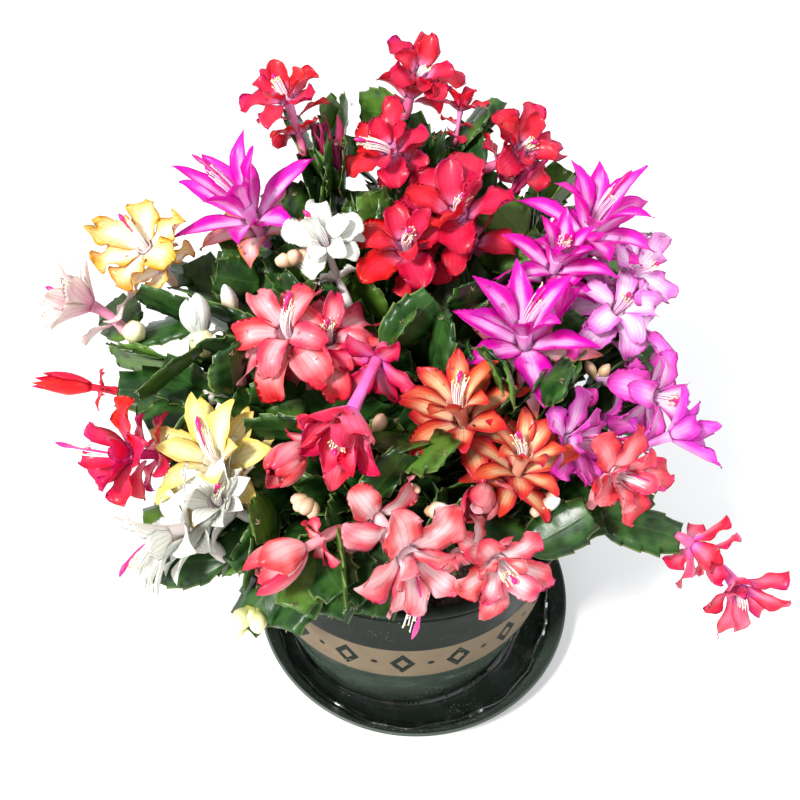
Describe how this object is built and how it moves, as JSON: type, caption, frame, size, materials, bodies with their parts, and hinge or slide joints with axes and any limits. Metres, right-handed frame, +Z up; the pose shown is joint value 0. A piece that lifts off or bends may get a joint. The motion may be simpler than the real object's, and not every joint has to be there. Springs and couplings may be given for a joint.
{
  "type": "potted christmas cactus",
  "caption": "Christmas cactus in flower: arching flat-jointed stems with many-coloured blooms, rooted in soil in a round plastic pot on a saucer.",
  "frame": {"origin": "on the surface that the saucer rests on, under the pot's axis", "axes": "+Z up along the pot's axis, +X to the plant's right and -Y towards its front, where the trailing branch hangs to the right"},
  "size_m": [0.3587, 0.2764, 0.3122],
  "materials": {
    "pot": "gloss",
    "saucer": "gloss",
    "soil": "matte",
    "stem": "satin",
    "petal_red": "satin",
    "petal_coral": "satin",
    "petal_magenta": "satin",
    "petal_lilac": "satin",
    "petal_orange": "satin",
    "petal_yellow": "satin",
    "petal_white": "satin"
  },
  "bodies": {
    "root": {"pot": "pot", "saucer": "saucer", "soil": "soil", "branch_left_high": "stem", "branch_left_mid": "stem", "branch_left_low": "stem", "branch_upper_left": "stem", "branch_front_left": "stem", "branch_front": "stem", "branch_front_right": "stem", "branch_centre": "stem", "branch_centre_drop": "stem", "branch_centre_white": "stem", "branch_top_left": "stem", "branch_top": "stem", "branch_top_right": "stem", "branch_red_heart": "stem", "branch_right_top": "stem", "branch_right_upper": "stem", "branch_orange": "stem", "branch_right": "stem", "branch_right_mid": "stem", "branch_right_low": "stem", "branch_trailing": "stem", "branch_back": "stem", "flower_magenta_left": "petal_magenta", "flower_magenta_heart": "petal_magenta", "flower_magenta_right": "petal_magenta", "flower_magenta_small": "petal_magenta", "flower_orange_high": "petal_orange", "flower_orange_low": "petal_orange", "flower_coral_left": "petal_coral", "flower_coral_twin": "petal_coral", "flower_red_drooping": "petal_red", "flower_coral_bell": "petal_coral", "flower_coral_low_bell": "petal_coral", "flower_salmon_front": "petal_coral", "flower_salmon_right": "petal_coral", "flower_coral_small": "petal_coral", "flower_red_high_left": "petal_red", "flower_red_left": "petal_red", "flower_red_top": "petal_red", "flower_red_high_right": "petal_red", "flower_red_heart": "petal_red", "flower_red_heart_right": "petal_red", "flower_gold": "petal_yellow", "flower_cream": "petal_yellow", "flower_white_low": "petal_white", "flower_white_cream": "petal_white", "flower_white_heart": "petal_white", "flower_white_left": "petal_white", "flower_scarlet_left": "petal_red", "flower_scarlet_low": "petal_red", "flower_lilac_high": "petal_lilac", "flower_lilac_mid": "petal_lilac", "flower_pink_right": "petal_lilac", "flower_purple_right": "petal_lilac", "flower_lilac_low": "petal_lilac", "flower_coral_right": "petal_coral", "flower_crimson_trailing": "petal_coral"}
  },
  "joints": []
}
